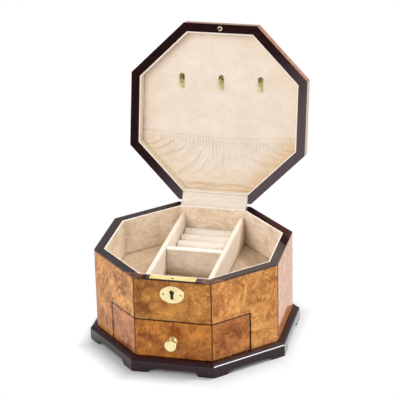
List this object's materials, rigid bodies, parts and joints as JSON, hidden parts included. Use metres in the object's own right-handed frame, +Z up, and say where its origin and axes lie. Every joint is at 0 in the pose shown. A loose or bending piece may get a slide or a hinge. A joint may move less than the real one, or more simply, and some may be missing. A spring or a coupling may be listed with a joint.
{
  "type": "locking jewellery box",
  "caption": "Octagonal veneered jewellery box with a hinged locking lid, suede-lined compartments, ring rolls, necklace hooks, a gathered lid pocket and a wrap-around drawer.",
  "frame": {"origin": "middle of the octagonal footprint on the floor, under the centre of the box", "axes": "+Z up, -Y towards the front with the keyhole and the drawer, +X to the right of a viewer in front"},
  "size_m": [0.258, 0.3347, 0.3645],
  "materials": {
    "burl_veneer": "gloss lacquered burl veneer",
    "dark_lacquer": "gloss dark mahogany lacquer",
    "inner_wood": "plain sanded board",
    "suede": "soft cream suede cloth",
    "brass": "polished pale brass"
  },
  "bodies": {
    "case": {"plinth_front": "dark_lacquer", "plinth_front_right": "dark_lacquer", "plinth_right": "dark_lacquer", "plinth_back_right": "dark_lacquer", "plinth_back": "dark_lacquer", "plinth_back_left": "dark_lacquer", "plinth_left": "dark_lacquer", "plinth_front_left": "dark_lacquer", "base_board": "inner_wood", "wall_front": "burl_veneer", "wall_front_right": "burl_veneer", "wall_right": "burl_veneer", "wall_back_right": "burl_veneer", "wall_back": "burl_veneer", "wall_back_left": "burl_veneer", "wall_left": "burl_veneer", "wall_front_left": "burl_veneer", "body_rim": "dark_lacquer", "shelf_board": "inner_wood", "drawer_guides": "inner_wood", "wall_lining": "suede", "floor_lining": "suede", "divider_left": "suede", "divider_right": "suede", "divider_cross": "suede", "ring_rolls": "suede", "lock_case": "brass", "lock_plate": "brass", "escutcheon": "brass", "escutcheon_pins": "brass", "hinge_body_leaf_left": "brass", "hinge_body_leaf_right": "brass", "hinge_pins": "brass", "hinge_body_screws": "brass", "hinge_flap": "suede"},
    "lock_bolt": {"lock_bolt": "brass"},
    "drawer": {"drawer_front_centre": "burl_veneer", "drawer_front_left": "burl_veneer", "drawer_front_right": "burl_veneer", "drawer_side_left": "inner_wood", "drawer_side_right": "inner_wood", "drawer_back": "inner_wood", "drawer_bottom": "inner_wood", "drawer_lining": "suede", "drawer_knob": "brass", "knob_screw": "brass"},
    "lid": {"lid_top": "burl_veneer", "lid_sides": "burl_veneer", "lid_rim": "dark_lacquer", "lid_lining": "suede", "lid_edge_lining": "suede", "lid_pocket": "suede", "necklace_hook_left": "brass", "necklace_hook_middle": "brass", "necklace_hook_right": "brass", "hook_nails": "brass", "lock_stud": "brass", "hinge_lid_leaf_left": "brass", "hinge_lid_leaf_right": "brass", "hinge_lid_screws": "brass"}
  },
  "joints": [
    {"name": "lid_hinge", "type": "hinge", "parent": "case", "child": "lid", "pos_m": [0, 0.1222, 0.12765], "axis": [1, 0, 0], "range_deg": [0, 102], "deforming": ["hinge_flap"]},
    {"name": "drawer_slide", "type": "slide", "parent": "case", "child": "drawer", "axis": [0, -1, 0], "range_m": [0, 0.1]},
    {"name": "bolt_slide", "type": "slide", "parent": "case", "child": "lock_bolt", "axis": [1, 0, 0], "range_m": [0, 0.0032]}
  ]
}
